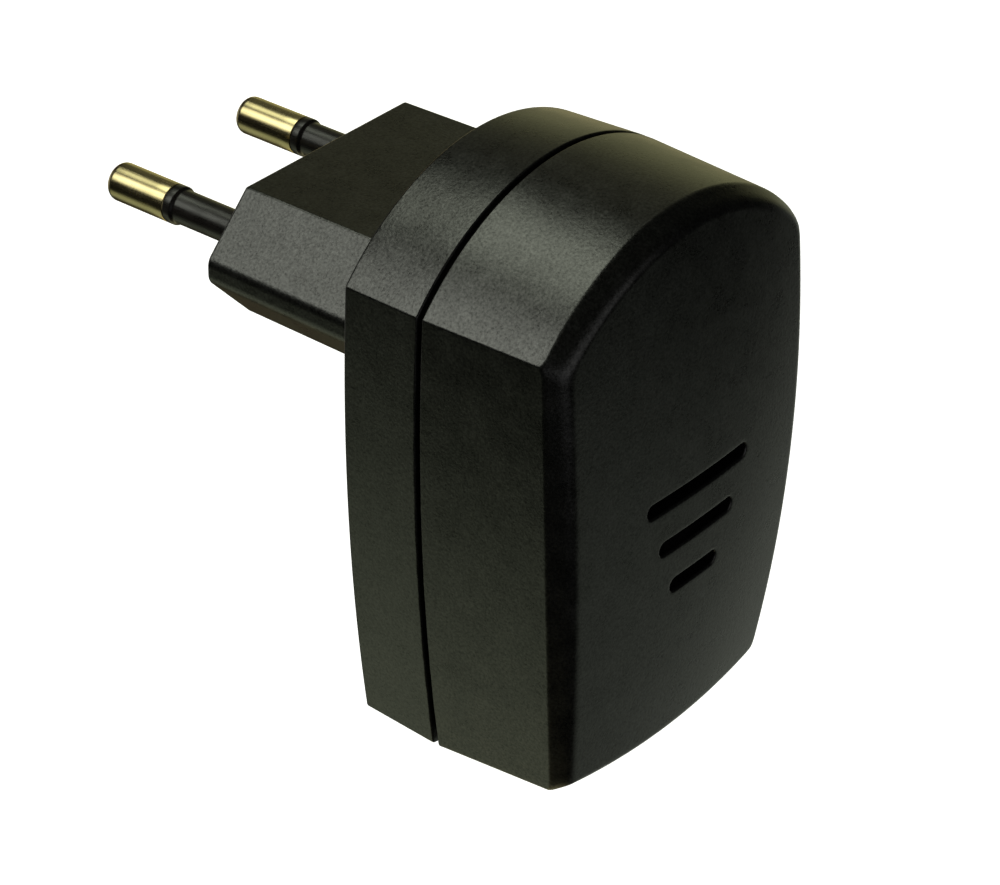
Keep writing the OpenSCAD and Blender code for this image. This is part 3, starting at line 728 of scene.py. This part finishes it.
def pin_metal():
    """Polished brass, turned, with faint rings round it and rubbing marks along it."""
    g = Graph("pin_metal")
    rings = g.noise(1.0, 3, 0.6, at=g.stretch(0.6, 9, 0.6))
    rubs = g.noise(1.0, 4, 0.6, at=g.stretch(6, 0.25, 6))
    shade = g.mix(g.remap(g.noise(0.25, 3), 0.3, 0.7, 0, 1), (0.50, 0.42, 0.22), (0.57, 0.48, 0.27))
    shade = g.mix(g.remap(rubs, 0.55, 0.75, 0, 0.45), shade, (0.45, 0.33, 0.14))
    rough = g.math("ADD", g.remap(rubs, 0.35, 0.75, 0.18, 0.28), g.remap(rings, 0.3, 0.7, 0, 0.04))
    return g.set(Base_Color=shade, Metallic=1.0, Roughness=rough,
                 Normal=g.bump(g.math("ADD", rings, g.math("MULTIPLY", rubs, 0.6)), 0.003))


def sleeve_plastic():
    """Glossy black moulded insulation with soft flow marks and hairline scuffs."""
    g = Graph("sleeve_plastic")
    scuffs = g.noise(1.0, 4, 0.65, at=g.stretch(5, 0.5, 5))
    shade = g.mix(g.remap(g.noise(0.4, 3), 0.3, 0.7, 0, 1), (0.010, 0.009, 0.009), (0.017, 0.014, 0.013))
    return g.set(Base_Color=shade, IOR=1.45, Roughness=g.remap(scuffs, 0.4, 0.75, 0.25, 0.45),
                 Normal=g.bump(scuffs, 0.006))


def screw_steel():
    """Zinc-plated steel with turned rings and a few dull spots."""
    g = Graph("screw_steel")
    rings = g.noise(1.0, 3, 0.6, at=g.stretch(1, 7, 1))
    shade = g.mix(g.remap(g.noise(0.8, 4), 0.3, 0.7, 0, 1), (0.50, 0.51, 0.52), (0.62, 0.63, 0.64))
    shade = g.mix(g.remap(g.noise(2.5, 4), 0.62, 0.75, 0, 0.6), shade, (0.30, 0.25, 0.19))
    return g.set(Base_Color=shade, Metallic=1.0, Roughness=g.remap(rings, 0.3, 0.7, 0.24, 0.4),
                 Normal=g.bump(rings, 0.01))


def banded(name, body, along, stops, rough=0.35):
    """A lacquered body with painted bands. Along is a value from 0 to 1 over its length."""
    g = Graph(name)
    fine = g.noise(3, 3)
    paint = g.bands(along(g), stops)
    shade = g.mix(g.remap(fine, 0.3, 0.7, 0, 0.25), paint, body)
    return g.set(Base_Color=shade, Coat_Weight=0.5, Coat_Roughness=0.1,
                 Roughness=g.remap(fine, 0.3, 0.7, rough * 0.8, rough * 1.2), Normal=g.bump(fine, 0.02))


def resistor_run(g):
    """Place along each small resistor: some lie along X round x = -9, others along Z round z = -16."""
    x, z = g.axis("X"), g.axis("Z")
    upright = g.math("GREATER_THAN", x, 0)
    flat_run, tall_run = g.remap(x, -12.15, -5.85, 0, 1), g.remap(z, -19.15, -12.85, 0, 1)
    return g.math("ADD", g.math("MULTIPLY", upright, tall_run),
                  g.math("MULTIPLY", g.math("SUBTRACT", 1, upright), flat_run))


def winding():
    """Enamelled copper wire: fine turns in relief along Y, with painted shade between the turns and a painted
    highlight on each turn's crest.
    """
    g = Graph("copper_wire")
    turns = g.math("ABSOLUTE", g.math("SINE", g.math("MULTIPLY", g.axis("Y"), 2 * math.pi / 0.4)))
    # Painted shade and highlight: the colour darkens between the turns and lightens on each crest, as light
    # falls on round wire
    shade = g.mix(turns, (0.16, 0.045, 0.015), (0.62, 0.26, 0.10))
    return g.set(Base_Color=shade, Metallic=0.85, Roughness=g.remap(g.noise(2, 3), 0.3, 0.7, 0.25, 0.4),
                 Coat_Weight=0.6, Coat_Roughness=0.1, Normal=g.bump(turns, 0.12))


def board():
    """Paper-phenolic laminate with its fibres, and a solder mask over copper tracks on the wall side."""
    g = Graph("board_laminate")
    fibre = g.noise(1.0, 4, 0.65, at=g.stretch(0.6, 2, 4))
    bare = g.mix(g.remap(fibre, 0.3, 0.7, 0, 1), (0.42, 0.25, 0.09), (0.58, 0.38, 0.17))
    tracks = g.math("LESS_THAN", g.cell_edges(0.28), 0.12)
    mask = g.mix(tracks, (0.03, 0.16, 0.06), (0.06, 0.27, 0.10))
    back = g.math("GREATER_THAN", g.axis("Y"), BOARD_REAR_Y - 0.02)
    return g.set(Base_Color=g.mix(back, bare, mask), Roughness=g.remap(fibre, 0.3, 0.7, 0.4, 0.6),
                 Normal=g.bump(fibre, 0.02))


def build_materials():
    """One material for each material slot."""
    made = {"case_plastic": case_plastic(), "pin_metal": pin_metal(), "sleeve_plastic": sleeve_plastic(),
            "screw_steel": screw_steel(), "copper_wire": winding(), "board_laminate": board()}
    tan, black = (0.66, 0.50, 0.31), (0.025, 0.025, 0.025)
    made["resistor_tan"] = banded("resistor_tan", tan, resistor_run, [
        (0, tan), (0.14, (0.16, 0.05, 0.02)), (0.22, tan), (0.32, black), (0.40, tan),
        (0.50, (0.80, 0.32, 0.02)), (0.58, tan), (0.80, (0.62, 0.42, 0.08)), (0.88, tan)])
    made["diode_black"] = banded("diode_black", black, lambda g: g.remap(g.axis("Z"), -8.8, -3.6, 0, 1),
                                 [(0, black), (0.74, (0.6, 0.6, 0.58)), (0.88, black)], 0.5)
    table = {
        # slot: dark and light shades,
        #     roughness, metallic, patch scale, grain scale, grain depth, coat, worn edge
        "lead_brown": ((0.10, 0.04, 0.018), (0.14, 0.055, 0.024),
            0.35, 0, 0.4, 4, 0.01, 0.2, None),
        "lead_blue": ((0.02, 0.07, 0.25), (0.03, 0.10, 0.33),
            0.35, 0, 0.4, 4, 0.01, 0.2, None),
        "lead_red": ((0.34, 0.02, 0.012), (0.46, 0.03, 0.02),
            0.35, 0, 0.4, 4, 0.01, 0.2, None),
        "lead_black": ((0.012, 0.012, 0.012), (0.022, 0.022, 0.022),
            0.35, 0, 0.4, 4, 0.01, 0.2, None),
        "film_case": ((0.66, 0.43, 0.035), (0.80, 0.56, 0.07),
            0.32, 0, 0.2, 5, 0.01, 0.2, (0.86, 0.68, 0.25)),
        "resistor_grey": ((0.19, 0.23, 0.22), (0.29, 0.33, 0.31),
            0.75, 0, 0.8, 6, 0.04, 0, (0.45, 0.46, 0.44)),
        "diode_glass": ((0.45, 0.12, 0.03), (0.70, 0.25, 0.08),
            0.12, 0, 0.8, 2, 0.01, 1.0, None),
        "capacitor_sleeve": ((0.015, 0.035, 0.12), (0.025, 0.055, 0.17),
            0.28, 0, 0.3, 3, 0.015, 0.4, None),
        "ceramic_disc": ((0.52, 0.20, 0.05), (0.66, 0.29, 0.09),
            0.45, 0, 0.7, 3, 0.04, 0.3, (0.75, 0.45, 0.2)),
        "chip_epoxy": ((0.012, 0.012, 0.014), (0.022, 0.022, 0.024),
            0.6, 0, 0.5, 8, 0.02, 0, (0.06, 0.06, 0.06)),
        "ferrite": ((0.03, 0.03, 0.034), (0.055, 0.055, 0.06),
            0.55, 0, 0.6, 6, 0.03, 0, (0.12, 0.12, 0.12)),
        "transducer_plastic": ((0.03, 0.032, 0.036), (0.048, 0.05, 0.056),
            0.5, 0, 0.3, 5, 0.02, 0, None),
        # Painted shade: the aluminium cone is given a far darker tone than bare aluminium, standing in for
        # the shade behind the slots
        "cone_aluminium": ((0.20, 0.20, 0.21), (0.30, 0.30, 0.31),
            0.42, 1, 0.4, 6, 0.01, 0, None),
        "plate_brass": ((0.62, 0.44, 0.17), (0.74, 0.56, 0.26),
            0.3, 1, 0.5, 5, 0.01, 0, (0.84, 0.68, 0.4)),
        "piezo_white": ((0.74, 0.70, 0.62), (0.84, 0.81, 0.74),
            0.5, 0, 0.6, 6, 0.015, 0, None),
        "foam": ((0.02, 0.02, 0.02), (0.035, 0.035, 0.035),
            0.95, 0, 1.2, 4, 0.12, 0, None),
        "terminal_tin": ((0.50, 0.50, 0.49), (0.64, 0.64, 0.62),
            0.35, 1, 0.9, 4, 0.015, 0, (0.72, 0.72, 0.7)),
    }
    for name, values in table.items():
        made[name] = plain_finish(name, *values)
    return made


materials = build_materials()


def add_piece(obj, slot_name, *replaced, angle=30):
    """Finishes a new piece and takes the place of the CAD nodes that it shows."""
    smooth(obj, angle)
    obj.data.materials.clear()
    obj.data.materials.append(materials[slot_name])
    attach(obj, "root")
    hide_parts(*replaced)


add_piece(front_shell(), "case_plastic", "front_shell")
add_piece(rear_shell(), "case_plastic", "rear_shell")
for side_name, side in (("left", -1), ("right", 1)):
    add_piece(plug_pin(side), "pin_metal", "plug_pin_" + side_name, angle=50)
    add_piece(pin_sleeve(side), "sleeve_plastic", "pin_sleeve_" + side_name, angle=50)
screw_parts = [p for k, (x, z) in enumerate(SCREWS) for p in case_screw(x, z, 0.5 + 1.1 * k)]
add_piece(joined("screws_case", screw_parts), "screw_steel", "case_screws")

# Every other CAD node keeps its mesh and takes its slot's material
slot_of = {part["node"]: part["material_slot"] for part in frame["record"]["subparts"]}
for name, node in nodes.items():
    if not node.hide_render:
        for k in range(max(len(node.material_slots), 1)):
            if k >= len(node.material_slots):
                node.data.materials.append(materials[slot_of[name]])
            else:
                node.material_slots[k].material = materials[slot_of[name]]

# ---------------------------------------------------------------- camera
AZIMUTH, ELEVATION, ROLL = (math.radians(a) for a in (-52.406, 31.962, 1.491))
TARGET, DISTANCE = Vector((2.982, -20.0, -20.907)) * MM, 377.115 * MM
flat = math.cos(ELEVATION)
back = Vector((math.sin(AZIMUTH) * flat, -math.cos(AZIMUTH) * flat, math.sin(ELEVATION)))
level = (-back).cross(Vector((0, 0, 1))).normalized()
upward = level.cross(-back)
right = level * math.cos(ROLL) + upward * math.sin(ROLL)
up = upward * math.cos(ROLL) - level * math.sin(ROLL)
lens = bpy.data.cameras.new("camera")
lens.sensor_width, lens.lens, lens.clip_start = 36.0, 137.31, 0.01
camera = bpy.data.objects.new("camera", lens)
turned = Matrix((right, up, back)).transposed().to_4x4()
camera.matrix_world = Matrix.Translation(TARGET + back * DISTANCE) @ turned
bpy.context.scene.collection.objects.link(camera)
bpy.context.scene.camera = camera

# ---------------------------------------------------------------- floor, studio light and backdrop
bpy.context.scene.view_settings.view_transform = "Standard"
FLOOR_X, FLOOR_Y, FLOOR_Z, FLOOR_RADIUS = 300, 400, -330, 1500
LIT_CENTRE = Vector((0, -20, -15)) * MM  # the middle of the case, where the area light points


def floor():
    """A plain pale disc, far enough below for low views to clear it."""
    ground = Surface()
    rim = ground.ring([(x, y, FLOOR_Z) for x, y in circle(FLOOR_X, FLOOR_Y, FLOOR_RADIUS, 96)])
    ground.faces.append(tuple(rim))
    made = ground.build("floor")
    g = Graph("floor")
    g.set(Base_Color=(0.9, 0.9, 0.89), Roughness=0.9, Emission_Color=(1, 1, 1, 1), Emission_Strength=1.0)
    made.data.materials.append(g.material)
    # What a table gives back to the object is in the studio's lights below
    made.visible_diffuse = made.visible_glossy = made.visible_shadow = False


def softbox(name, direction, distance, size, colour, power):
    """A rectangular area light that looks at the object from a direction."""
    light = bpy.data.lights.new(name, "AREA")
    light.shape, light.size, light.size_y = "RECTANGLE", size[0], size[1]
    light.energy, light.color = power, colour
    made = bpy.data.objects.new(name, light)
    d = Vector(direction).normalized()
    made.location = LIT_CENTRE + d * distance
    made.rotation_mode = "QUATERNION"
    made.rotation_quaternion = d.to_track_quat("Z", "Y")
    made.visible_camera = False
    bpy.context.scene.collection.objects.link(made)


# The studio's soft lights: the direction each comes from, its half width in degrees and its colour.
# The window and the lamp light the arch, and the high and warm walls its far side.
# The front wall and the table give the sides and the face a sheen.
GLOWS = {
    "window": ((-0.6, 0.5, 0.6), 22, (3.1, 3.2, 2.8)),
    "lamp": ((0.0, 0.4, 0.9), 20, (3.0, 3.2, 2.6)),
    "high_wall": ((0.7, 0.4, 0.6), 25, (0.12, 0.12, 0.08)),
    "warm_wall": ((0.9, 0.5, 0.0), 27, (0.4, 0.4, 0.2)),
    "low_wall": ((0.6, 0.7, -0.3), 25, (0.4, 0.3, 0.15)),
    "back_wall": ((0.0, 1.0, -0.2), 27, (0.5, 0.5, 0.45)),
    "front_wall": ((-0.6, -0.8, 0.0), 27, (0.35, 0.35, 0.35)),
    "table_left": ((-0.4, 0.5, -0.8), 25, (0.45, 0.5, 0.35)),
    "table_right": ((0.8, 0.1, -0.6), 30, (0.42, 0.45, 0.38)),
    "table_front": ((0.4, -0.6, -0.7), 30, (0.2, 0.22, 0.18)),
    "table_below": ((0.0, 0.2, -1.0), 25, (1.2, 1.1, 0.6)),
}
AMBIENT = (0.008, 0.008, 0.008)


def studio():
    """A world that is white to the camera and gives the soft lights to everything else."""
    world = bpy.data.worlds.new("studio")
    bpy.context.scene.world = world
    world.use_nodes = True
    tree = world.node_tree

    def vector_math(operation, a, b):
        made = tree.nodes.new("ShaderNodeVectorMath")
        made.operation = operation
        for socket, value in zip(made.inputs, (a, b)):
            if isinstance(value, bpy.types.NodeSocket):
                tree.links.new(value, socket)
            else:
                socket.default_value = value
        return made.outputs

    where = tree.nodes.new("ShaderNodeTexCoord").outputs["Generated"]
    direction = vector_math("NORMALIZE", where, (0, 0, 0))[0]
    total = AMBIENT
    for toward, width, colour in GLOWS.values():
        near = vector_math("DOT_PRODUCT", direction, Vector(toward).normalized())["Value"]
        fade = tree.nodes.new("ShaderNodeMapRange")
        fade.interpolation_type = "SMOOTHSTEP"
        fade.inputs["From Min"].default_value = math.cos(math.radians(width))
        fade.inputs["From Max"].default_value = math.cos(math.radians(width / 4))
        tree.links.new(near, fade.inputs["Value"])
        total = vector_math("ADD", vector_math("MULTIPLY", fade.outputs[0], colour)[0], total)[0]
    glow, white = tree.nodes["Background"], tree.nodes.new("ShaderNodeBackground")
    tree.links.new(total, glow.inputs["Color"])
    white.inputs["Color"].default_value = (1, 1, 1, 1)
    rays, mixed = tree.nodes.new("ShaderNodeLightPath"), tree.nodes.new("ShaderNodeMixShader")
    tree.links.new(rays.outputs["Is Camera Ray"], mixed.inputs[0])
    tree.links.new(glow.outputs[0], mixed.inputs[1])
    tree.links.new(white.outputs[0], mixed.inputs[2])
    tree.links.new(mixed.outputs[0], tree.nodes["World Output"].inputs["Surface"])


floor()
studio()
softbox("front_fill", (-0.05, -0.95, 0.32), 0.6, (0.5, 0.4), (1.0, 1.0, 0.97), 0.2)
